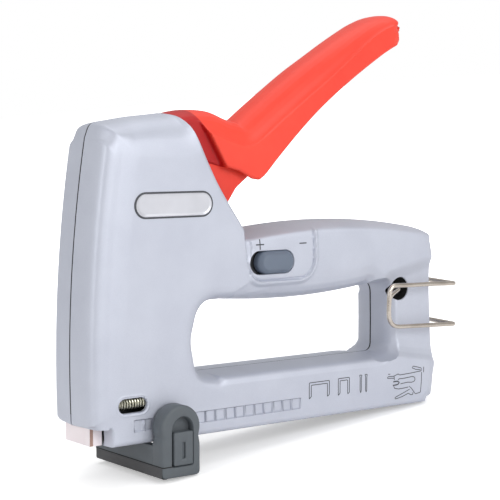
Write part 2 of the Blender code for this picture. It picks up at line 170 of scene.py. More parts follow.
neck = {"colour": (182, 2, 4), "corner": (52.6, 0, 119.2), "slope": (0.856, 0.517),
        "edge": (0.0003, 0.0009)}


# Painted shadow: deeper red on the handle's recessed neck, where shade falls in front of the collar's
# leaning edge
def neckShadowPaint(p, own):
    x = p.node("ShaderNodeSeparateXYZ", {}, [p.spot], "X")
    z = p.node("ShaderNodeSeparateXYZ", {}, [p.spot], "Z")
    corner = toRow(neck["corner"])
    behind = (x - corner[0]) * neck["slope"][0] + (z - corner[2]) * neck["slope"][1]
    return p.node("ShaderNodeMix", {"data_type": "RGBA"},
                  {"Factor": p.ramp(behind, *neck["edge"]), 6: linear(neck["colour"]), 7: own}, 2)


# Drawn or rolled metal: streaks along one axis, and a little tarnish
def metal(name, colour, shade, roughness, along, streak=0.15):
    p = Paint(name, colour, roughness, 1.0)
    stretch = [2500.0, 2500.0, 2500.0]
    stretch["xyz".index(along)] = 60.0
    lines = p.node("ShaderNodeMapping", {}, {"Vector": p.spot, "Scale": stretch})
    lay = p.node("ShaderNodeTexNoise", {}, {"Vector": lines, "Scale": 1.0, "Detail": 3.0})
    tarnish = p.ramp(p.noise(120, 4), 0.35, 0.7)
    p.feed("Base Color", p.blend(tarnish, shade, colour))
    p.feed("Roughness", roughness + 0.12 * (lay - 0.5) + 0.05 * tarnish)
    p.bump(lay, streak, 0.0001)
    return p.material


# Bright plating that also scatters: a steady colour with faint clouds
def plated(name, colour, shade, roughness, metallic):
    p = Paint(name, colour, roughness, metallic)
    p.feed("Base Color", p.blend(p.ramp(p.noise(90, 3), 0.3, 0.7), shade, colour))
    p.feed("Roughness", roughness + 0.06 * (p.noise(400, 3) - 0.5))
    return p.material


# Matt flat colour with a slightly uneven gloss: printing ink, and painted shade in the ladder's cells
def flatInk(name, colour):
    p = Paint(name, colour, 0.55, 0.0)
    p.feed("Roughness", 0.5 + 0.1 * p.noise(600, 2))
    return p.material


paints = {
    "silver": silverPaint(),
    "red": plastic("redPlastic", (238, 62, 44), (230, 56, 38), 0.45, 0.10),
    # this red carries painted shadow, a deeper red, on the handle's recessed neck
    "redWithNeckShadow": plastic("handleRedNeckShadow", (243, 70, 50), (236, 62, 43), 0.45, 0.10, neckShadowPaint),
    "grey": plastic("greyPlastic", (93, 99, 104), (86, 92, 97), 0.50, 0.22),
    # Painted shade: the foot's grey darkened for its base and toe, which lie in shade
    "greyInShade": plastic("greyPlasticPaintedShade", (76, 76, 78), (70, 70, 72), 0.55, 0.22),
    "knob": plastic("knobPlastic", (106, 117, 133), (98, 108, 124), 0.40, 0.10),
    "bright": plated("brightPlate", (246, 236, 239), (238, 228, 231), 0.3, 0.3),
    "brass": plated("browned", (176, 146, 134), (160, 130, 120), 0.35, 0.4),
    "nickel": metal("nickelWire", (214, 205, 195), (192, 182, 172), 0.2, "x", 0.05),
    "steel": metal("oiledSteel", (120, 121, 124), (92, 92, 94), 0.34, "x"),
    "zinc": metal("zincWire", (226, 224, 205), (190, 188, 172), 0.22, "y"),
    "chrome": plated("badgeChrome", (212, 213, 220), (204, 205, 212), 0.3, 0.5),
    "rubber": plastic("blackRubber", (34, 34, 34), (27, 27, 27), 0.75, 0.4),
    "ink": flatInk("darkInk", (66, 68, 74)),
    # painted shade for the edges of the ladder's recessed cells
    "shade": flatInk("paintedGrooveShade", (120, 123, 138)),
}
print("materials made")

# The kept solids take their finish from the record's slot for each node
finishOfSlot = {"silver_paint": "silver", "red_plastic": "red", "grey_plastic": "grey",
                "knob_plastic": "knob", "bright_steel": "bright", "dark_steel": "steel",
                "zinc_wire": "zinc", "chrome_badge": "chrome", "black_rubber": "rubber"}
slotOfNode = {row["node"]: row["material_slot"] for row in frame["record"]["subparts"]}
for nodeName, nodeObject in frame["nodes"].items():
    nodeObject.data.materials.clear()
    nodeObject.data.materials.append(paints[finishOfSlot[slotOfNode[nodeName]]])


# Four corner numbers for each cell of a grid whose first point has the number start
def quads(rows, columns, start):
    number = start + np.arange(rows * columns).reshape(rows, columns)
    return np.stack([number[:-1, :-1], number[1:, :-1], number[1:, 1:], number[:-1, 1:]], -1).reshape(-1, 4)


# One mesh from grids of points (rows, columns, 3) in drawing millimetres, welded, with its faces outwards;
# keep takes the cells' middles and says which cells stay
def skin(name, grids, paint, body, keep=None, sharp=38):
    sizes = [grid.shape[:2] for grid in grids]
    starts = np.cumsum([0] + [rows * columns for rows, columns in sizes])
    points = np.vstack([grid.reshape(-1, 3) for grid in grids])
    faces = np.vstack([quads(rows, columns, start) for (rows, columns), start in zip(sizes, starts)])
    if keep is not None:
        faces = faces[keep(points[faces].mean(axis=1))]
    mesh = bpy.data.meshes.new(name)
    mesh.vertices.add(len(points))
    mesh.vertices.foreach_set("co", toRow(points).astype(np.float32).ravel())
    mesh.loops.add(faces.size)
    mesh.loops.foreach_set("vertex_index", faces.astype(np.int32).ravel())
    mesh.polygons.add(len(faces))
    mesh.polygons.foreach_set("loop_start", np.arange(0, faces.size, 4, dtype=np.int32))
    mesh.update(calc_edges=True)
    mesh.validate()
    weld(mesh)
    mesh.shade_smooth()
    mesh.set_sharp_from_angle(angle=radians(sharp))
    piece = bpy.data.objects.new(name, mesh)
    bpy.context.scene.collection.objects.link(piece)
    mesh.materials.append(paints[paint])
    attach(piece, body)
    return piece


# Weld doubled points, drop loose ones and turn the faces outwards
def weld(mesh):
    bm = bmesh.new()
    bm.from_mesh(mesh)
    bmesh.ops.remove_doubles(bm, verts=bm.verts, dist=1e-6)
    bmesh.ops.dissolve_degenerate(bm, edges=bm.edges, dist=1e-7)
    bmesh.ops.delete(bm, geom=[v for v in bm.verts if not v.link_faces], context="VERTS")
    bmesh.ops.recalc_face_normals(bm, faces=bm.faces)
    bm.to_mesh(mesh)
    bm.free()


# A curve through (distance, value) pairs with its corners rounded off by a short average
def softTable(pairs, blur=0.35):
    d, v = np.array(pairs, float).T
    fine = np.linspace(0, 30, 3001)
    value = np.interp(fine, d, v)
    reach = max(1, int(blur * 100))
    window = np.hanning(2 * reach + 3)[1:-1]
    padded = np.concatenate([2 * value[0] - value[reach:0:-1], value, np.full(reach, value[-1])])
    smooth = np.convolve(padded, window / window.sum(), "valid")
    smooth[0] = v[0]
    return lambda distance: np.interp(distance, fine, smooth)


# Corners, each a place and then its radius, to points with every corner eased by a parabola over its radius
def bends(corners, steps=10, most=0.48):
    places = [np.array(corner[:-1], float) for corner in corners]
    route = []
    for i, here in enumerate(places):
        radius = corners[i][-1]
        if radius == 0 or i in (0, len(corners) - 1):
            route.append(here)
            continue
        before, after = places[i - 1] - here, places[i + 1] - here
        lengths = np.linalg.norm(before), np.linalg.norm(after)
        half = np.arccos(np.clip(before @ after / (lengths[0] * lengths[1]), -1, 1)) / 2
        reach = min(radius / np.tan(half), most * lengths[0], most * lengths[1])
        first, last = here + before / lengths[0] * reach, here + after / lengths[1] * reach
        t = np.linspace(0, 1, steps + 1)[:, None]
        route.extend((1 - t) ** 2 * first + 2 * t * (1 - t) * here + t * t * last)
    return np.array(route)


# A curve through every given place: each stretch is a cubic whose ends lean along their neighbours
def smoothLine(places, steps=8):
    p = np.array(places, float)
    lean = np.gradient(p, axis=0)
    t = np.linspace(0, 1, steps + 1)[:-1, None]
    a, b = 2 * t ** 3 - 3 * t ** 2 + 1, t ** 3 - 2 * t ** 2 + t
    c, d = 3 * t ** 2 - 2 * t ** 3, t ** 3 - t ** 2
    stretches = [a * p[i] + b * lean[i] + c * p[i + 1] + d * lean[i + 1] for i in range(len(p) - 1)]
    return np.vstack(stretches + [p[-1:]])


# Distance run at each point of a route
def lengthAlong(route):
    return np.concatenate([[0], np.cumsum(np.linalg.norm(np.diff(route, axis=0), axis=1))])


# Points at the given lengths along a route
def at(route, stations):
    run = lengthAlong(route)
    return np.stack([np.interp(stations, run, route[:, k]) for k in range(route.shape[1])], -1)


# A route taken again at even steps
def evenly(route, spacing):
    total = lengthAlong(route)[-1]
    return at(route, np.linspace(0, total, max(4, int(total / spacing))))


# Side-view points (x, z) stood at the distance y from the seam plane
def atDepth(points, y):
    return np.stack([points[:, 0], np.broadcast_to(y, len(points)), points[:, 1]], -1)


# Length along the route at its nearest place to a point
def nearest(route, point):
    run = lengthAlong(route)
    fine = np.linspace(0, run[-1], 6000)
    return fine[np.argmin(np.linalg.norm(at(route, fine) - np.array(point), axis=1))]


# Least distance from each (x, z) to an open route of straight pieces
def distance(x, z, route):
    best = np.full(x.shape, 1e9)
    for (ax, az), (bx, bz) in zip(route[:-1], route[1:]):
        dx, dz = bx - ax, bz - az
        span = dx * dx + dz * dz
        if span < 1e-9:
            continue
        t = np.clip(((x - ax) * dx + (z - az) * dz) / span, 0, 1)
        best = np.minimum(best, np.hypot(x - ax - t * dx, z - az - t * dz))
    return best


# Smaller of two heights, with the crease between them eased over a soft width
def lesser(a, b, soft):
    h = np.clip(0.5 + 0.5 * (b - a) / soft, 0, 1)
    return b * (1 - h) + a * h - soft * h * (1 - h)


# 0 to 1 between two limits, level at both ends
def step(value, low, high):
    t = np.clip((value - low) / (high - low), 0, 1)
    return t * t * (3 - 2 * t)


# Grid between two routes of (x, z), tied at pairs of matching points. Each row runs from the outer route to
# the inner one, its points crowded near both ends; spacing gives the step along the outer route at a place
def fan(outer, inner, pairs, spacing, clusters):
    outerRun = np.array([nearest(outer, p[0]) for p in pairs])
    innerRun = np.array([nearest(inner, p[1]) for p in pairs])
    outerRun[0], innerRun[0] = 0, 0
    outerRun[-1], innerRun[-1] = lengthAlong(outer)[-1], lengthAlong(inner)[-1]
    stations = [0.0]
    total = outerRun[-1]
    while stations[-1] < total:
        here = at(outer, np.array([stations[-1]]))[0]
        stations.append(stations[-1] + spacing(here[0], here[1]))
    stations = np.array(stations) * total / stations[-1]
    first = at(outer, stations)
    last = at(inner, np.interp(stations, outerRun, innerRun))
    gap = last - first
    length = np.maximum(np.linalg.norm(gap, axis=1), 1e-6)
    near, wide, countA, countB, countC, countD = clusters
    edge = np.minimum(near, 0.22 * length)
    band = edge + np.minimum(0.42 * (length - 2 * edge), wide)
    rows = []
    for n, share in [(countA, lambda t: edge * t ** 1.8),
                     (countB, lambda t: edge + (band - edge) * t),
                     (countC, lambda t: band + (length - edge - band) * t),
                     (countD, lambda t: length - edge * (1 - t) ** 1.8)]:
        rows.extend(share(k / n) for k in range(n))
    rows.append(length)
    share = np.stack(rows, 1) / length[:, None]
    return first[:, None, :] + gap[:, None, :] * share[:, :, None], first, last


# Tube round a path: circles across it, carried along with the least twist, its ends drawn to a point
def sweep(route, radius, sides):
    route = np.asarray(route, float)
    ahead = np.gradient(route, axis=0)
    ahead /= np.linalg.norm(ahead, axis=1)[:, None]
    side = np.zeros_like(route)
    start = np.cross(ahead[0], [0.13, 0.97, 0.21])
    side[0] = start / np.linalg.norm(start)
    for k in range(1, len(route)):
        turned = side[k - 1] - ahead[k] * (side[k - 1] @ ahead[k])
        side[k] = turned / np.linalg.norm(turned)
    up = np.cross(ahead, side)
    turn = np.linspace(0, 2 * pi, sides + 1)
    ring = (np.cos(turn)[:, None] * side[:, None] + np.sin(turn)[:, None] * up[:, None]) * radius
    first, last = route[:1, None] + 0 * ring[:1], route[-1:, None] + 0 * ring[-1:]
    return np.vstack([first, first + 0.7 * ring[:1], route[:, None] + ring, last + 0.7 * ring[-1:], last])


housing = {
    "headHalf": 16.95, "railHalf": 16.4, "gripHalf": 15.5, "columnHalf": 12.6,
    # seamShadowDepth and seamShadowHalf place the painted shadow strip just inside the seam
    "seam": 0.42, "outerLip": 3.0, "innerLip": 2.0, "seamShadowDepth": 0.1, "seamShadowHalf": 0.46,
    "ladder": (17.7, 100.9, 17), "ladderHigh": (-2.1, 2.4),
    "ladderDeep": 0.8, "ladderBar": 0.8, "window": (10.8, 24.0, 5.4, 11.4),
    "slot": (74.1, 97.3, 55.4, 65.4), "bailHole": (160.4, 44.6, 5.25), "rodHole": (3.6, 2.0),
    "pad": (71.5, 109.6, 51.4, 84.0)}

frontRoute = np.array([(-1 + 0.00093 * (z - 22) ** 2, z) for z in np.linspace(3.6, 111.5, 60)])
cornerRoute = bends([(7.7, 0, 0), (-0.55, 0.0, 2.6), (-0.685, 3.6, 0)])
roofRoute = bends([(6.45, 111.5, 0), (8.6, 117.2, 4.5), (24, 119.6, 60), (41, 121.3, 0)])
slantRoute = smoothLine([(41, 121.3), (44.1, 118.7), (48.9, 111.3), (53.7, 101.9), (58.5, 93.3),
                         (63.5, 85.8), (68.5, 78.9), (71, 75.2), (72.6, 72.8)])
gripRoute = bends([(72.6, 72.8, 0)] + [(x, 76.4 - 0.0016 * (x - 120) ** 2, 0) for x in range(78, 176, 4)]
                  + [(179.4, 70.3, 3), (180.2, 66, 0)])
rearRoute = smoothLine([(180.2, 66), (181.5, 60), (181.7, 57.2), (180.7, 54), (180.4, 46), (180.9, 34),
                        (181.7, 20), (182.3, 14.6), (183.7, 11), (183.8, 8.6), (182.9, 4.4), (182.3, -1),
                        (181.6, -4.8), (180.5, -6.7), (178.5, -7.4)])
bottomRoute = np.array([(x, -7.4) for x in np.linspace(178.5, 8.4, 40)])
lipRoute = np.array([(8.4, -7.4), (8.3, -0.6), (7.7, 0.0)])
outerRoute = np.vstack([frontRoute, roofRoute[1:], slantRoute[1:], gripRoute[1:], rearRoute[1:],
                        bottomRoute[1:], lipRoute[1:], cornerRoute[1:]])

palm = [(x, 43.5 + 0.0016 * (x - 102) ** 2, 0) for x in range(66, 142, 4)]
floorRoute = np.array([(x, 16.2) for x in np.linspace(146.5, 59.0, 30)])
frontWallRoute = bends([(59.0, 16.2, 0), (50.4, 17.2, 6), (47.8, 31, 14), (51.6, 45.4, 14),
                        (66, palm[0][1], 0)])
palmRoute = bends(palm + [(140.5, 46.1, 0)])
rearWallRoute = bends([(140.5, 46.1, 0), (154.0, 48.6, 9), (154.4, 30, 14), (154.3, 16.2, 8),
                       (146.5, 16.2, 0)])
innerRoute = np.vstack([frontWallRoute[::-1], floorRoute[::-1], rearWallRoute[::-1], palmRoute[::-1]])

# Distance of the wall from the seam, by distance in from each edge of the side view
profiles = {
    "front": softTable([(0, 0.25), (0.2, 5), (0.6, 9.5), (1.1, 12.4), (1.9, 14.1), (3.2, 15.0),
                        (5.0, 15.65), (6.2, 15.8), (8, 15.95), (10, 16.45), (12.6, 17.1), (15, 17.8),
                        (19, 22)], 1.1),
    "roof": softTable([(0, 0.25), (0.25, 3), (1.0, 7), (2.2, 10), (3.9, 12.5), (5.8, 14.4), (8.2, 15.8),
                       (11, 16.8), (14, 17.8), (18, 22)], 1.4),
    "slant": softTable([(0, 14.9), (0.12, 15.6), (0.5, 16.4), (1.4, 17.0), (3, 18), (5, 22)], 0.2),
    "grip": softTable([(0, 0.25), (0.15, 3.2), (0.6, 6.6), (1.5, 10.2), (2.5, 13.2), (2.95, 14.2),
                       (3.6, 14.85), (5, 15.2), (10, 15.8), (14, 16.8), (18, 22)], 0.3),
    "rear": softTable([(0, 0.25), (0.25, 6), (0.8, 9.6), (1.7, 12.1), (3.2, 14.2), (5, 15.4), (7, 16.6),
                       (10, 22)], 0.4),
    "bottom": softTable([(0, 8.1), (0.04, 13), (0.2, 14.9), (0.7, 15.9), (1.5, 16.5), (3, 18), (5, 22)],
                        0.15),
    "lip": softTable([(0, 9.6), (0.05, 13), (0.3, 15.0), (0.9, 16.3), (2, 18), (4, 22)], 0.15),
    "floor": softTable([(0, 0.25), (0.25, 6), (0.7, 12.2), (1.3, 14.7), (2.3, 15.9), (4, 16.7), (7, 22)],
                       0.5),
    "frontWall": softTable([(0, 0.25), (0.3, 6.5), (1.0, 11.5), (2.1, 14.4), (3.6, 16.1), (6, 17.3),
                            (9, 22)], 0.5),
    "palm": softTable([(0, 0.25), (0.4, 4.6), (1.4, 8.8), (3.2, 11.9), (6, 14.0), (10, 15.3), (14, 16.2),
                       (20, 22)], 0.8),
    "rearWall": softTable([(0, 0.25), (0.3, 4), (1.0, 7.8), (2.3, 10.8), (4, 12.5), (6, 14.5), (9, 22)],
                          0.6),
}
# Over what height each edge's fall is eased into the wall
softness = {"slant": 0.3, "roof": 1.6, "front": 1.2, "floor": 1.1, "frontWall": 1.1}
edges = {"front": np.vstack([cornerRoute[1:], frontRoute[1:]]), "roof": roofRoute, "slant": slantRoute,
         "grip": gripRoute, "rear": rearRoute, "bottom": bottomRoute, "lip": lipRoute, "floor": floorRoute,
         "frontWall": frontWallRoute, "palm": palmRoute, "rearWall": rearWallRoute}


# X where the head's side ends over the grip
def headEnd(z):
    return np.interp(z, [54, 60, 66, 69, 72, 76], [73.0, 73.4, 75.0, 74.6, 73.0, 72.3])


# Half-width away from every edge: head, rail, grip and the narrower rear column
def plainHalf(x, z):
    h = housing
    half = h["railHalf"] + (h["headHalf"] - h["railHalf"]) * step(z, 12, 46)
    gradual, sharp = step(x, 62, 118), step(x - headEnd(z), 0, 0.8)
    share = gradual + (sharp - gradual) * step(z, 48, 60)
    half = half + (h["gripHalf"] - half) * share * step(z, 30, 46)
    upper = 50.5 + 0.24 * (x - 150)
    shoulder = 15.6 - 0.17 * (x - 150)
    column = step(x, 147, 153.5) * filletTable(z - shoulder) * (1 - step(z, upper - 5, upper + 3))
    return half + (h["columnHalf"] - half) * column


# How far the wall has drawn in from the rail to the column, by height above the rail's shoulder
filletTable = softTable([(0, 0), (0.8, 0.1), (2.6, 0.45), (5, 0.76), (8, 0.94), (11, 1)], 0.5)

# How much more gently the wall falls to an edge than its table says, over the side view
spreads = {"roof": lambda x, z: np.interp(x, [4, 10.6, 19.6, 28.7, 40], [0.42, 0.68, 1.0, 1.1, 1.2]),
           "palm": lambda x, z: np.interp(x, [60, 66, 86], [0.12, 0.25, 1.0]),
           "rearWall": lambda x, z: np.interp(z, [12, 20, 42, 50], [0.25, 1.0, 1.0, 0.4])}


# Height of the adjuster's pad above the grip, from 3 mm inside its rim line outwards
padTable = softTable([(0, 0.8), (0.8, 0.8), (1.1, 0.1), (1.5, 0.1), (1.95, 1.25), (2.8, 1.35), (4.3, 0),
                      (9, 0)], 0.3)


# Raised pad with a groove and a rim round it; its left end meets the head
def padHeight(x, z):
    x0, x1, z0, z1 = housing["pad"]
    r = 9.5
    out = np.hypot(x - np.clip(x, x0 + r, x1 - r), z - np.clip(z, z0 + r, z1)) - r
    return padTable(np.clip(out + 3, 0, 9)) * step(x - headEnd(z), 0, 0.9)


# Depth of the row of shallow cells low on the rail
def ladderDepth(x, z):
    x0, x1, count = housing["ladder"]
    low, high = housing["ladderHigh"]
    pitch = (x1 - x0) / count
    cell = np.mod(x - x0, pitch)
    bar = housing["ladderBar"]
    wide = step(cell, bar * 0.3, bar * 0.9) * (1 - step(cell, pitch - bar * 0.4, pitch))
    tall = step(z, low - 0.15, low + 0.25) * (1 - step(z, high - 0.25, high + 0.15))
    inside = (x > x0) & (x < x1)
    return housing["ladderDeep"] * wide * tall * inside


# Distance of the housing's outside from the seam plane, over the side view
def halfWidth(x, z, near=True):
    y = plainHalf(x, z)
    for name, route in edges.items():
        far = distance(x, z, route)
        if name in spreads:
            far = far / spreads[name](x, z)
        if name == "grip":                 # the head stands proud of the grip's crown where they meet
            crownFar = far
            far = far + 6 * np.clip(72.8 - x, 0, 5)
        y = lesser(y, np.maximum(profiles[name](far), 0.2), softness.get(name, 0.6))
    y = np.maximum(y, housing["seam"])
    rodZ, rodRadius = housing["rodHole"]    # half of a round hole in the rear, for the magazine's rod
    y = np.where(x > 170, np.maximum(y, np.sqrt(np.maximum(rodRadius ** 2 - (z - rodZ) ** 2, 0))), y)
    if near:
        y = y + padHeight(x, z) * step(crownFar, 1.2, 3.6)
    return y - ladderDepth(x, z)


# Places on the outline and on the opening's edge that the grid joins
matching = [((-0.55, 0), (50.6, 20.5)), ((-1, 22), (49.9, 27)), ((2.9, 88), (50.4, 37)),
            ((8, 116.8), (51.4, 40)), ((41, 121.3), (54.5, 43.8)), ((60, 91), (58.5, 45.6)),
            ((73.5, 73.4), (68, 46.3)), ((108, 76.2), (104, 44.5)), ((150, 75), (136, 46.3)),
            ((178.6, 69.6), (150.5, 46.2)), ((180.3, 48), (153.8, 41)), ((181.0, 28), (154.2, 31)),
            ((183.8, 9.3), (153.7, 21.5)), ((178.5, -7.4), (151.6, 17.6)), ((148, -7.4), (146.5, 16.2)),
            ((60, -7.4), (59.5, 16.2)), ((8.4, -7.4), (52.3, 18.2)), ((-0.55, 0), (50.6, 20.5))]


# The opening's edge as one closed route that starts at its front wall and runs the outline's way
def openInner():
    far = np.linalg.norm(innerRoute - np.array(matching[0][1]), axis=1)
    k = int(np.argmin(far))
    return np.vstack([innerRoute[k:], innerRoute[1:k + 1]])[::-1]


# Step along the outline: fine at the ladder and where the roof meets the slant
def railSpacing(x, z):
    if z > 100 and x > 38:
        return 0.4
    return 0.32 if z < -3 and 10 < x < 104 else 0.62


# An edge of the side view moved squarely towards the points beside it, at the given distances y
def lipAlong(edge, beside, y, depth):
    ahead = np.gradient(edge, axis=0)
    across = np.stack([-ahead[:, 1], ahead[:, 0]], -1)
    across /= np.maximum(np.linalg.norm(across, axis=1), 1e-9)[:, None]
    sign = np.sign(np.sum(across * (beside - edge), axis=1))
    across *= np.where(sign == 0, 1, sign)[:, None]
    return atDepth(edge + across * depth, y)


# One casting: the side view's grid lifted to halfWidth, with a lip turned in behind both edges
def housingHalf(name, side, spacingScale=1.0):
    near = side < 0
    grid, first, last = fan(outerRoute, openInner(), matching,
                            lambda x, z: railSpacing(x, z) * spacingScale, (3.0, 22.0, 14, 34, 29, 12))
    x, z = grid[..., 0], grid[..., 1]
    cuts = holes(near)
    for edge in cuts:                      # draw nearby points onto each hole's edge
        out, pullX, pullZ = edge(x, z)
        close = np.abs(out) < (0.42 if near else 0.6)
        x = np.where(close, x - pullX * out, x)
        z = np.where(close, z - pullZ * out, z)
    y = halfWidth(x, z, near)
    outerLip = lipAlong(first, grid[:, 1], side * (y[:, 0] - 0.02), housing["outerLip"])
    innerLip = lipAlong(last, grid[:, -2], side * (y[:, -1] - 0.02), housing["innerLip"])
    sheet = np.concatenate([outerLip[:, None], np.stack([x, side * y, z], -1), innerLip[:, None]], 1)

    def solid(middle):
        keep = np.ones(len(middle), bool)
        for edge in cuts:
            keep &= edge(middle[:, 0], middle[:, 2])[0] > 0
        return keep
    return skin(name, [sheet], "silver", "root", solid, 30)


# For a stadium (an oblong with half-round ends): distance outside it, and the way straight out
def stadiumPull(box):
    x0, x1, z0, z1 = box
    r = (z1 - z0) / 2

    def edge(x, z):
        cx = np.clip(x, x0 + r, x1 - r)
        far = np.maximum(np.hypot(x - cx, z - (z0 + r)), 1e-9)
        return far - r, (x - cx) / far, (z - (z0 + r)) / far
    return edge


# Square round a screw's recess in the far half, in drawing millimetres
def screwBox(number):
    low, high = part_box("housing_screw_%d" % number)
    x, _, z = ((np.array(low) + np.array(high)) / 2 - zero) / mm
    return x - 3.5, x + 3.5, z - 3.5, z + 3.5


screwBoxes = [screwBox(number) for number in range(1, 7)]


# Stadiums cut in a casting: nose window, bail hole, and the slot or the screw recesses
def holes(near):
    cx, cz, r = housing["bailHole"]
    found = [stadiumPull(housing["window"]), stadiumPull((cx - r, cx + r, cz - r, cz + r))]
    return found + ([stadiumPull(housing["slot"])] if near else [stadiumPull(box) for box in screwBoxes])


# Closed route round a stadium, anticlockwise
def stadiumRoute(box, count=96):
    x0, x1, z0, z1 = box
    r = (z1 - z0) / 2
    a = np.linspace(-pi / 2, pi / 2, 40)
    right = np.stack([x1 - r + r * np.cos(a), z0 + r + r * np.sin(a)], -1)
    left = np.stack([x0 + r - r * np.cos(a), z0 + r - r * np.sin(a)], -1)
    loop = np.vstack([right, left, right[:1]])
    return at(loop, np.linspace(0, lengthAlong(loop)[-1], count + 1))


# Move a closed anticlockwise route outwards
def outwards(loop, distanceOut):
    ahead = np.roll(loop[:-1], -1, 0) - np.roll(loop[:-1], 1, 0)
    ahead /= np.linalg.norm(ahead, axis=1)[:, None]
    moved = loop[:-1] + np.stack([ahead[:, 1], -ahead[:, 0]], -1) * distanceOut
    return np.vstack([moved, moved[:1]])


# A rim round a hole: it follows the wall outside, rises, and runs down into the hole
def collar(box, side, profile, depth):
    near = side < 0
    loop = stadiumRoute(box)
    rows = []
    for out, rise in profile:
        ring = outwards(loop, out)
        y = halfWidth(ring[:, 0], ring[:, 1], near) + rise
        rows.append(atDepth(ring, side * y))
    inner = outwards(loop, profile[-1][0] - 0.15)
    wall = halfWidth(loop[:, 0], loop[:, 1], near)
    for drop in (0.5, 0.5 * depth, depth):
        rows.append(atDepth(inner, side * np.maximum(wall - drop, 0.3)))
    return np.array(rows)


# The recess over a screw: its rim, its wall and the shoulder under the head
def screwSeat(box):
    rows = collar(box, 1, [(0.6, -0.03), (0.3, 0.02), (0.08, -0.05), (0, -0.2)], 1.2)
    x, z = (box[0] + box[1]) / 2, (box[2] + box[3]) / 2
    seat = 9.3 if x > 150 and z < 46 else 13.1
    floor = rows[-1].copy()
    floor[:, 1] = seat
    return np.concatenate([rows[:-1], floor[None], [[(x, seat, z)] * len(floor)]])


# Both castings, and the rims of their holes
def makeHousing():
    left = housingHalf("leftShell", -1)
    right = housingHalf("rightShell", 1, 1.2)
    cx, cz, r = housing["bailHole"]
    lip = [(1.5, -0.03), (1.15, 0.08), (0.75, 0.16), (0.4, 0.06), (0.1, -0.35), (0, -0.7)]
    rim = [(0.7, -0.03), (0.35, 0.03), (0.1, -0.05), (0, -0.2)]
    for word, side in (("Left", -1), ("Right", 1)):
        skin("windowLip" + word, [collar(housing["window"], side, lip, 1.3)], "silver", "root")
        rows = collar((cx - r, cx + r, cz - r, cz + r), side, rim, 12.0)
        skin("bailHoleRim" + word, [rows[:5]], "silver", "root")
        # painted shade: the bore is lined in black rubber paint so the shaded inside of the hole reads dark
        skin("bailBoreShadow" + word, [rows[4:]], "rubber", "root")
    skin("slotRim", [collar(housing["slot"], -1, rim, 3.4)], "silver", "root")
    skin("screwSeats", [screwSeat(box) for box in screwBoxes], "silver", "root")
    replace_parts(left, "left_housing")
    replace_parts(right, "right_housing")


# Painted shadow: a dark strip just inside the seam, standing in for the shade deep in the joint, so that
# the joint line reads as a gap
def shadowInSeam(route):
    ahead = np.gradient(route, axis=0)
    ahead /= np.maximum(np.linalg.norm(ahead, axis=1), 1e-9)[:, None]
    moved = route + np.stack([ahead[:, 1], -ahead[:, 0]], -1) * housing["seamShadowDepth"]
    half = housing["seamShadowHalf"]
    return np.array([atDepth(moved, y) for y in np.linspace(-half, half, 3)])


# Painted seam shadow over the front and roof, down the back on both sides of the rod's hole, and round the
# opening
def makeSeamShadows():
    top = np.vstack([frontRoute, roofRoute[1:]])
    top = at(top, np.linspace(1, lengthAlong(top)[-1] - 6, 160))
    back = np.vstack([gripRoute[3:], rearRoute[1:]])
    back = at(back, np.linspace(2, lengthAlong(back)[-1] - 3, 260))
    inner = at(innerRoute, np.linspace(0, lengthAlong(innerRoute)[-1], 320))
    rod = housing["rodHole"][0]
    above, below = back[back[:, 1] > rod + 2.2], back[back[:, 1] < rod - 2.2]
    # the black rubber paint here is painted shadow deep in the seam
    skin("seamShadowSheet", [shadowInSeam(line) for line in (top, above, below, inner)], "rubber", "root")


makeHousing()
makeSeamShadows()
print("housing made")

handle = {"half": 13.2, "neck": 9.9, "wall": 2.2}
crownRoute = np.vstack([smoothLine([(36.5, 118.0), (41, 120.8), (47, 122.3), (54, 122.75), (60.5, 122.5),
                                    (64.8, 121.4), (70, 119.4), (75.8, 118.0)])[:-1],
                        smoothLine([(75.8, 118.0), (79.5, 120.6), (85.7, 125.2), (96.3, 132.7),
                                    (107.1, 140.1), (118.1, 146.8), (129.4, 153.5), (140.8, 159.7),
                                    (146.6, 162.4), (151.6, 164.2), (156.6, 165.2), (160.2, 164.9),
                                    (162.4, 163.6), (163.2, 161.2)])])
tipRoute = np.array([(163.2, 163.2), (163.2, 160.6), (162.2, 159.6), (163.1, 158.0), (163.5, 154.0),
                     (162.6, 152.0)])
lowerRoute = np.vstack([bends([(36.5, 107, 0), (50, 103.5, 6), (62.5, 100.3, 2), (71.5, 98.0, 10),
                               (78.0, 94.7, 4), (82.0, 94.2, 2.2), (84.5, 95.8, 0)], 8)[:-1],
                        smoothLine([(84.5, 95.8), (87, 98.2), (92.1, 103.4), (102.8, 113.6), (113.6, 122.9),
                                    (124.6, 131.2), (135.9, 138.9), (147.4, 146.1), (153.6, 149.6),
                                    (158.8, 152.2), (161.8, 154.2), (163.2, 157.0), (163.2, 159.8)])])
crownTable = softTable([(0, 0), (0.12, 2.3), (0.5, 4.5), (1.3, 6.5), (2.6, 8.4), (4.4, 10.0), (6.4, 11.15),
                        (8.0, 11.9), (8.9, 12.4), (9.6, 12.95), (10.0, 13.5), (11, 16)], 0.35)
tipTable = softTable([(0, 0), (0.2, 4), (0.8, 7.4), (2.0, 10.0), (3.8, 11.8), (6.5, 13.0), (9, 15)], 0.6)
lowerTable = softTable([(0, 12.2), (0.25, 12.75), (0.8, 13.1), (1.6, 13.5), (3, 16)], 0.2)


# Distance behind the collar's front edge, which leans back as it goes down
def collarEdge(x, z):
    return ((x - 52.6) * 18.7 + (z - 119.2) * 11.3) / np.hypot(18.7, 11.3)


# Half-width of the handle: an arch that ends in a ridge, flat sides, a narrower neck in the head
def handleHalf(x, z):
    side = handle["neck"] + (handle["half"] - handle["neck"]) * step(collarEdge(x, z), -0.1, 0.9)
    shrink = 1 - 0.5 * step(x, 108, 160)    # the arch flattens to the tip
    y = lesser(side, crownTable(distance(x, z, crownRoute) / shrink), 0.25)
    y = lesser(y, tipTable(distance(x, z, tipRoute)), 0.8)
    edge = lowerTable(distance(x, z, lowerRoute)) - (handle["half"] - side)
    return np.maximum(np.minimum(y, edge), 0)


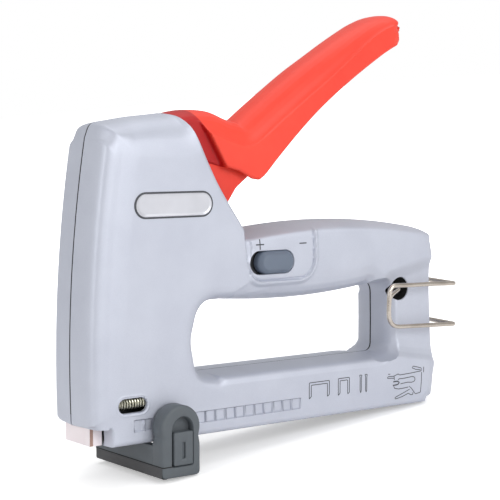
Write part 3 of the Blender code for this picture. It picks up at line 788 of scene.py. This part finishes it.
# The shell: a grid from crown to lower edge lifted to both sides, then given its wall
def makeHandle():
    ties = [((36.5, 118.0), (36.5, 107)), ((52, 122.6), (55, 102.5)), ((62, 122.2), (64, 99.8)),
            ((75.8, 118), (79, 94.4)), ((88, 127), (87, 98.2)), ((118.1, 146.8), (118, 126.3)),
            ((148, 163), (148, 146.4)), ((157.5, 165.2), (158.8, 152.2)), ((163.2, 161.2), (163.2, 159.8))]
    grid, _, _ = fan(crownRoute, lowerRoute, ties, lambda x, z: 0.5, (3.0, 9.0, 14, 34, 16, 10))
    x, z = grid[..., 0], grid[..., 1]
    y = handleHalf(x, z)
    y[:, 0] = 0
    y[-1, :] = 0
    nearSheet = np.stack([x, -y, z], -1)
    farSheet = np.stack([x, y, z], -1)[:, 1:]
    sheet = np.concatenate([nearSheet[:, ::-1], farSheet], 1)
    # the shell's red carries painted shadow on its neck
    piece = skin("handleShell", [sheet], "redWithNeckShadow", "handle", None, 50)
    wallStep = piece.modifiers.new("wall", "SOLIDIFY")
    wallStep.thickness = handle["wall"] * mm
    wallStep.offset = -1
    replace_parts(piece, "handle_shell")


# Red web under the collar: two walls joined by a rounded rear edge
def makeWeb():
    route = bends([(62, 111, 0), (48, 110, 2), (49, 92, 4), (57, 85, 4), (68.4, 84.6, 1.5), (73.0, 91.0, 6),
                   (80.0, 96.2, 3), (80.0, 106, 2), (62, 111, 0)], 8)
    edge = at(route, np.linspace(0, lengthAlong(route)[-1], 150))
    middle = np.array([64.0, 104.0])
    rows = []
    for inset, y in [(0, 0), (0, 5), (0, 7.6), (0.12, 8.3), (0.5, 8.75), (1.1, 8.9), (4, 8.9), (99, 8.9)]:
        towards = middle - edge
        reach = np.linalg.norm(towards, axis=1)[:, None]
        ring = edge + towards / reach * np.minimum(inset, reach)
        rows.append(atDepth(ring, -y))
    near = np.array(rows)
    far = near[1:] * np.array([1, -1, 1])
    skin("handleWeb", [np.concatenate([near[::-1], far], 0)], "red", "handle")


makeHandle()
makeWeb()
print("handle made")

bail = {"radius": 1.0, "side": 18.0, "over": 20.4, "top": 46.6, "low": 28.1, "back": 190.0, "farFront": 166,
        "pivot": (157.0, 44.6), "droop": 0.04}


# One wire: hook, upper strand, squared loop behind the tool, lower strand and pivot bar, drooping backwards
def makeBail():
    b = bail
    near, over, far = -b["side"], -b["over"], b["side"]
    route = bends([(147.0, over, 38.4, 0), (147.2, over, b["top"], 7.5), (160, over, b["top"], 12),
                   (172, near, b["top"], 12), (b["back"], near, b["top"], 2.6),
                   (b["back"], far, b["top"], 2.6), (b["farFront"], far, b["top"], 7),
                   (b["farFront"], far, b["low"], 7), (b["back"], far, b["low"], 2.6),
                   (b["back"], near, b["low"], 2.6), (148.9, near, b["low"], 8), (149.2, near, 41.5, 5),
                   (158.6, -14.2, b["pivot"][1], 2.5), (159.6, -3, b["pivot"][1], 0)], 9, 0.49)
    route[:, 2] -= b["droop"] * np.clip(route[:, 0] - b["pivot"][0] - 8, -16, 40) * (route[:, 1] < 10.5)
    piece = skin("wireBail", [sweep(evenly(route, 0.7), b["radius"], 18)], "nickel", "bail")
    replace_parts(piece, "wire_bail")


coils = {"pusherTurns": 17, "pusherStart": 10.2, "pusherLong": 20.6, "pusherSide": 12.7, "pusherUp": 9.0,
         "pusherRadius": 2.4, "pusherWire": 0.46, "strikerTurns": 10, "strikerX": 16.5, "strikerLow": 53.4,
         "strikerHigh": 108.4, "strikerRadius": 5.1, "strikerWire": 1.0}


# Closely wound springs: a helix along X on each side for the pusher, and one along Z for the striker
def makeSprings():
    c = coils
    t = np.linspace(0, 1, c["pusherTurns"] * 22 + 1)
    turn = 2 * pi * c["pusherTurns"] * t
    for word, side in (("left", -1), ("right", 1)):
        route = np.stack([c["pusherStart"] + c["pusherLong"] * t,
                          side * c["pusherSide"] + c["pusherRadius"] * np.cos(turn),
                          c["pusherUp"] + c["pusherRadius"] * np.sin(turn)], -1)
        tube = sweep(route, c["pusherWire"], 8)
        piece = skin("pusherCoil" + word.capitalize(), [tube], "zinc", "root")
        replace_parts(piece, "pusher_spring_" + word)
    turn = np.linspace(0, 2 * pi * c["strikerTurns"], 221)
    route = np.stack([c["strikerX"] + c["strikerRadius"] * np.cos(turn), c["strikerRadius"] * np.sin(turn),
                      np.linspace(c["strikerLow"], c["strikerHigh"], 221)], -1)
    piece = skin("strikerCoil", [sweep(route, c["strikerWire"], 10)], "zinc", "root")
    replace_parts(piece, "drive_spring")
    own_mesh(piece)


makeBail()
makeSprings()
print("wires made")

foot = {"x": (25.4, 43.1), "low": -20.4, "wall": -7.95, "head": (34.2, -1.0, 8.9),
        "recess": (34.8, -1.6, 4.9)}


# Side view of an ear: a foot with straight sides that flares into a round head
def earRoute():
    x0, x1 = foot["x"]
    cx, cz, r = foot["head"]
    head = [(cx + r * cos(t), cz + r * sin(t), 0) for t in np.linspace(radians(-22), radians(202), 60)]
    return bends([(cx, foot["low"], 0), (x1, foot["low"], 2.0), (x1, -8.0, 3)] + head
                 + [(x0, -8.0, 3), (x0, foot["low"], 2.0), (cx, foot["low"], 0)], 6)


# Side view of the recess in an ear: an arch on a rounded box
def recessRoute():
    cx, cz, r = foot["recess"]
    arch = [(cx + r * cos(t), cz + r * sin(t), 0) for t in np.linspace(0, pi, 30)]
    return bends([(cx, -16.0, 0), (cx + r, -16.0, 0.8)] + arch + [(cx - r, -16.0, 0.8), (cx, -16.0, 0)], 5)


# A closed side view taken at even steps, moved outwards and stood at y
def ring(route, out, y, count):
    loop = at(route, np.linspace(0, lengthAlong(route)[-1], count + 1))
    return atDepth(outwards(loop, out) if out else loop, y)


# Rings of (route, distance out, y) joined in turn, with the first and the last closed at their middles
def closedRings(rings, side, count):
    rows = [ring(route, out, y, count) for route, out, y in rings]
    first, last = (np.repeat(row.mean(axis=0)[None], count + 1, 0) for row in (rows[0], rows[-1]))
    rows = np.array([first] + rows + [last])
    rows[..., 1] *= side
    return rows


# A straight bar along Y from its closed side view
def bar(corners, count, half):
    loop = bends(corners, 5)
    loop = at(loop, np.linspace(0, lengthAlong(loop)[-1], count + 1))
    return np.array([atDepth(loop, y) for y in np.linspace(-half, half, 12)])


# Two ears joined by a wall and a base strip painted darker as shade, with a painted shadow line between the
# two
def makeFoot():
    outline, recess = earRoute(), recessRoute()
    earRings = [(outline, -7.5, 17.2), (outline, -0.8, 17.2), (outline, -0.25, 17.35), (outline, 0, 17.9),
                (outline, 0, 24.0), (outline, -0.2, 24.6), (outline, -0.6, 24.92), (outline, -1.2, 25.0),
                (recess, 0.9, 25.0), (recess, 0.3, 24.85), (recess, 0, 24.4), (recess, -0.1, 21.5),
                (recess, -1.0, 21.3), (recess, -4.2, 21.3)]
    for word, side in (("Left", -1), ("Right", 1)):
        skin("footEar" + word, [closedRings(earRings, side, 220)], "grey", "foot")
    toe = bends([(25.34, -16.0, 0), (25.34, -20.46, 2.0), (28.0, -20.46, 0)], 8)
    toeSheet = np.array([atDepth(toe, y) for y in np.linspace(-24.3, 24.3, 12)])
    # toe and base take the grey darkened as painted shade
    skin("footToe", [toeSheet], "greyInShade", "foot")
    low, wall = foot["low"], foot["wall"]
    plate = bar([(34.2, low, 0), (42.7, low, 0.8), (42.7, -16.2, 1.0), (25.5, -16.0, 0.4), (26.3, low, 0.8),
                 (34.2, low, 0)], 80, 17.8)
    front = bar([(27, wall, 0), (28.9, wall, 0.6), (28.9, -16.4, 0.3), (25.45, -16.4, 0.2),
                 (25.45, wall, 0.4), (27, wall, 0)], 60, 17.8)
    base = skin("footBase", [plate], "greyInShade", "foot")
    skin("footWall", [front], "grey", "foot")
    seam = bends([(30.0, -25.06, 0), (25.33, -25.06, 0.5), (25.33, 25.06, 0.5), (30.0, 25.06, 0)], 4)
    seam = at(seam, np.linspace(0, lengthAlong(seam)[-1], 160))
    band = np.array([np.column_stack([seam, np.full(160, z)]) for z in (-15.9, -15.7, -15.5)])
    # painted shadow: a black ribbon where the wall meets the base strip, standing in for the shade in that
    # joint
    skin("footSeamShadow", [band], "rubber", "foot")
    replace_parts(base, "foot_clip")


# A raised tab in each recess, with a groove down its middle
def makeLatches():
    tab = bends([(34.95, -15.6, 0), (39.4, -15.6, 0.7), (39.4, -2.5, 0.7), (30.5, -2.5, 0.7),
                 (30.5, -15.6, 0.7), (34.95, -15.6, 0)], 5)
    groove = bends([(35.0, -13.0, 0), (35.8, -13.0, 0.7), (35.8, -6.6, 0.5), (34.1, -6.6, 0.5),
                    (34.1, -13.0, 0.7), (35.0, -13.0, 0)], 4)
    tabRings = [(tab, 0, 22.8), (tab, 0, 24.9), (tab, -0.15, 25.2), (tab, -0.5, 25.3),
                (groove, 0.3, 25.3), (groove, 0.05, 25.15), (groove, -0.1, 24.4)]
    for word, side in (("left", -1), ("right", 1)):
        piece = skin("footTab" + word.capitalize(), [closedRings(tabRings, side, 120)], "grey",
                     "latch_" + word)
        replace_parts(piece, "foot_latch_" + word)


makeFoot()
makeLatches()
print("foot made")

badge = {"box": (18.5, 54.6, 80.7, 90.2),
         "rim": [(0.45, 16.8), (0.4, 17.15), (0.1, 17.3), (-0.3, 17.25)],
         "plate": [(-0.25, 16.9), (-0.3, 17.35), (-0.6, 17.6), (-1.0, 17.55), (-1.3, 17.4), (-1.6, 17.38),
                   (-3.6, 17.42)]}
knob = {"box": (78.5, 97.0, 55.6, 65.2), "middle": 87.5, "half": 9.5, "end": 4.85, "lean": 0.3,
        "top": 17.98, "rings": [(0, 13.0), (0, 15.7), (-0.15, 16.1), (-1.5, 17.6), (-1.75, 17.8),
                                (-2.1, 17.88), (-3.6, 17.95)]}


# A stadium-shaped button from (inset, distance from the seam) rings, closed along its spine
def button(box, rings, end, top, lean):
    loop = stadiumRoute(box, 120)
    sheet = []
    for out, y in rings:
        moved = outwards(loop, out)
        sheet.append(atDepth(moved, -(y + lean(moved[:, 0]) * (y > 14))))
    spine = np.clip(loop[:, 0], box[0] + end, box[1] - end)
    middle = np.full(len(spine), (box[2] + box[3]) / 2)
    sheet.append(atDepth(np.stack([spine, middle], -1), -(top + lean(spine))))
    return np.array(sheet)


# A dark rim and the blank plate inside it
def makeBadge():
    box = badge["box"]
    end = (box[3] - box[2]) / 2
    for name, rings, paint in (("badgeRim", badge["rim"], "ink"), ("badgePlate", badge["plate"], "chrome")):
        sheet = button(box, rings, end, rings[-1][1], lambda x: 0 * x)
        piece = skin(name, [sheet], paint, "root")
    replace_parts(piece, "badge_plate")


# The adjuster's button, which stands a little prouder at its rear end
def makeKnob():
    k = knob
    sheet = button(k["box"], k["rings"], k["end"], k["top"],
                   lambda x: k["lean"] * (x - k["middle"]) / k["half"])
    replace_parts(skin("adjusterKnob", [sheet], "knob", "adjuster"), "adjuster_knob")


# Browned edges of the nose plate, a hair outside its sides
def makeNoseStrip():
    x, z = np.meshgrid(np.linspace(2.3, 3.75, 5), np.linspace(-6.98, 0.4, 12))
    sheets = [np.stack([x, np.full_like(x, y), z], -1) for y in (-9.04, 9.04)]
    skin("noseStrip", sheets, "brass", "root")


# A thin printed line on the near side: a flat ribbon laid on the wall
def stroke(points, width=0.34):
    route = evenly(np.array(points, float), 0.5)
    ahead = np.gradient(route, axis=0)
    ahead /= np.maximum(np.linalg.norm(ahead, axis=1), 1e-9)[:, None]
    across = np.stack([-ahead[:, 1], ahead[:, 0]], -1) * width / 2
    rows = []
    for share, lift in [(-1, -0.02), (-1, 0.05), (1, 0.05), (1, -0.02)]:
        line = route + across * share
        rows.append(atDepth(line, -(halfWidth(line[:, 0], line[:, 1]) + lift)))
    return np.array(rows)


# Outline of a staple, points down: crown, two legs and their slanted points
def staple(x, z, wide, tall, thick):
    return [(x, z - tall), (x, z), (x + wide, z), (x + wide, z - tall + 0.8), (x + wide - thick, z - tall),
            (x + wide - thick, z - thick), (x + thick, z - thick), (x + thick, z - tall + 0.8),
            (x, z - tall)]


# Outline of a nail, point down
def brad(x, z, tall):
    return [(x - 0.7, z), (x + 0.7, z), (x + 0.35, z - 1), (x + 0.35, z - tall + 1), (x, z - tall),
            (x - 0.35, z - tall + 1), (x - 0.35, z - 1), (x - 0.7, z)]


# Two staples, two nails, a sketch of loading the rail, plus and minus signs, and painted shade lines along
# the ladder's cells
def makeMarks():
    lines = [staple(105.4, 8.3, 11.1, 6.8, 1.1), staple(121.5, 8.5, 6.3, 7.2, 1.0),
             brad(134.3, 8.8, 7.8), brad(137.45, 8.8, 7.8)]
    lines += [[(153.9, 6.4), (156.3, 7.2), (157.2, 6.6), (163.8, 6.8), (170.4, 7.2)],
              [(153.9, 6.4), (150.2, 6.5), (149.9, 5.8), (153.9, 5.5)], [(153.9, 6.4), (154.1, 4.6)],
              [(156.3, 4.3), (156.7, 4.9), (160.2, 4.9), (165.2, 5.2), (166.3, 4.7), (166.7, 3.6),
               (166.0, 2.9), (164.7, 2.6), (162.0, 2.9), (157.8, 2.6)],
              [(153.7, 1.9), (154.3, 0.9), (156.7, 0.4), (160.3, 0.5), (162.6, 0.7)],
              [(163.1, 1.0), (164.4, 0.0), (165.7, -1.5), (166.8, -2.8), (170.0, -2.5), (170.5, 1.9),
               (170.6, 6.6)],
              [(163.3, -0.4), (160.3, -1.4), (157.1, -2.4), (154.5, -3.2), (154.7, -3.9), (156.8, -3.6),
               (159.4, -3.1), (162.6, -2.1), (163.9, -2.9), (165.2, -3.0), (165.5, -2.0)],
              [(169.9, 7.7), (167.0, 8.2), (164.7, 9.1), (165.5, 9.8), (168.2, 9.1), (170.4, 8.5),
               (170.4, 7.2)],
              [(171.9, 8.9), (171.9, 6.4)], [(150.3, 7.6), (151.6, 7.5)]]
    signs = [[(79.4, 70.1), (79.4, 65.8)], [(77.3, 67.9), (81.5, 67.9)], [(100.0, 67.6), (103.8, 67.6)]]
    grip = [(153.4, 3.9), (155.8, 4.0), (157.0, 3.4), (156.7, 2.7), (155.5, 2.4), (153.2, 2.3)]
    sheets = [stroke(line) for line in lines] + [stroke(line, 0.5) for line in signs] + [stroke(grip, 0.55)]
    skin("printedMarks", sheets, "ink", "root")
    # Painted shade: thin dark lines down each cell's left edge and along the top, where the recess is
    # shaded
    x0, x1, count = housing["ladder"]
    low, high = housing["ladderHigh"]
    grooveShadeLines = [[(x, low), (x, high)] for x in np.linspace(x0, x1, count + 1)[:-1] + 0.45]
    skin("ladderShadeLines", [stroke(line, 0.3) for line in grooveShadeLines + [[(x0, high), (x1, high)]]],
         "shade", "root")


makeBadge()
makeKnob()
makeNoseStrip()
makeMarks()
print("small parts made")


view = {"lens": 105.84, "place": (-285.91, -489.96, 111.73), "right": (0.79617, -0.60507, 0.0),
        "ahead": (0.60329, 0.79383, -0.07664)}


# Camera on the near side, ahead of the nose, its axes given by its right and its ahead
def makeCamera():
    data = bpy.data.cameras.new("camera")
    data.sensor_width, data.lens = 36, view["lens"]
    data.clip_start, data.clip_end = 0.01, 20
    eye = bpy.data.objects.new("camera", data)
    bpy.context.scene.collection.objects.link(eye)
    right, ahead = Vector(view["right"]), Vector(view["ahead"])
    turn = Matrix((right, right.cross(ahead), -ahead)).transposed().to_4x4()
    eye.matrix_world = Matrix.Translation(toRow(view["place"])) @ turn
    bpy.context.scene.camera = eye


# A rectangular light that faces its target
def softLight(name, place, target, size, power):
    data = bpy.data.lights.new(name, "AREA")
    data.shape, data.size, data.size_y = "RECTANGLE", size[0], size[1]
    data.energy = power
    lamp = bpy.data.objects.new(name, data)
    bpy.context.scene.collection.objects.link(lamp)
    lamp.location = place
    lamp.rotation_euler = (Vector(target) - Vector(place)).to_track_quat("-Z", "Y").to_euler()


studio = {"ambient": 0.55, "key": 13, "fill": 4.5, "top": 6, "floorGlow": 0.36, "glowFrom": 0.16,
          "glowTo": 0.5}


# World, floor and lights: the floor glows softly and turns white away from the tool
def makeStudio():
    world = bpy.data.worlds.new("studio")
    world.use_nodes = True
    tree = world.node_tree
    seen = tree.nodes.new("ShaderNodeLightPath")
    level = tree.nodes.new("ShaderNodeMapRange")             # white behind the tool, dimmer as a light
    level.inputs["To Min"].default_value = studio["ambient"]
    tree.links.new(seen.outputs["Is Camera Ray"], level.inputs["Value"])
    tree.links.new(level.outputs["Result"], tree.nodes["Background"].inputs["Strength"])
    tree.nodes["Background"].inputs["Color"].default_value = (1, 1, 1, 1)
    bpy.context.scene.world = world
    bpy.context.scene.view_settings.view_transform = "Standard"
    # The tool leans back from its foot onto the rail's rear corner, so the floor tilts under it
    front, rear = toRow((43.1, 0, -20.4)), toRow((179.0, 0, -7.6))
    slope = np.arctan2(rear[2] - front[2], rear[0] - front[0])
    bpy.ops.mesh.primitive_plane_add(size=8)
    floor = bpy.context.object
    floor.name = "floor"
    floor.rotation_euler = (0, -slope, 0)
    floor.location = Vector(front) - Vector((0, 0, 0.0003))
    p = Paint("floorPaper", (250, 250, 250), 0.9, 0.0, Specular_IOR_Level=0.0, Emission_Strength=1.0)
    p.feed("Roughness", 0.85 + 0.1 * p.noise(30, 2))
    away = p.node("ShaderNodeVectorMath", {"operation": "LENGTH"}, {0: p.spot}, "Value")
    least = studio["floorGlow"]
    glow = least + (1.0 - least) * p.ramp(away, studio["glowFrom"], studio["glowTo"])
    own = p.node("ShaderNodeLightPath", {}, {}, "Is Camera Ray") * glow
    p.feed("Emission Color", p.node("ShaderNodeCombineColor", {}, [own, own, own]))
    floor.data.materials.append(p.material)
    softLight("keyBox", (0.15, -1.5, 0.75), (0, 0, 0.08), (1.3, 0.9), studio["key"])
    softLight("frontBox", (-1.4, 0.0, 0.5), (0, 0, 0.08), (0.6, 0.9), studio["fill"])
    softLight("topBox", (0.2, 0.2, 1.5), (0, 0, 0.08), (1.2, 1.2), studio["top"])


makeCamera()
makeStudio()
print("studio made")
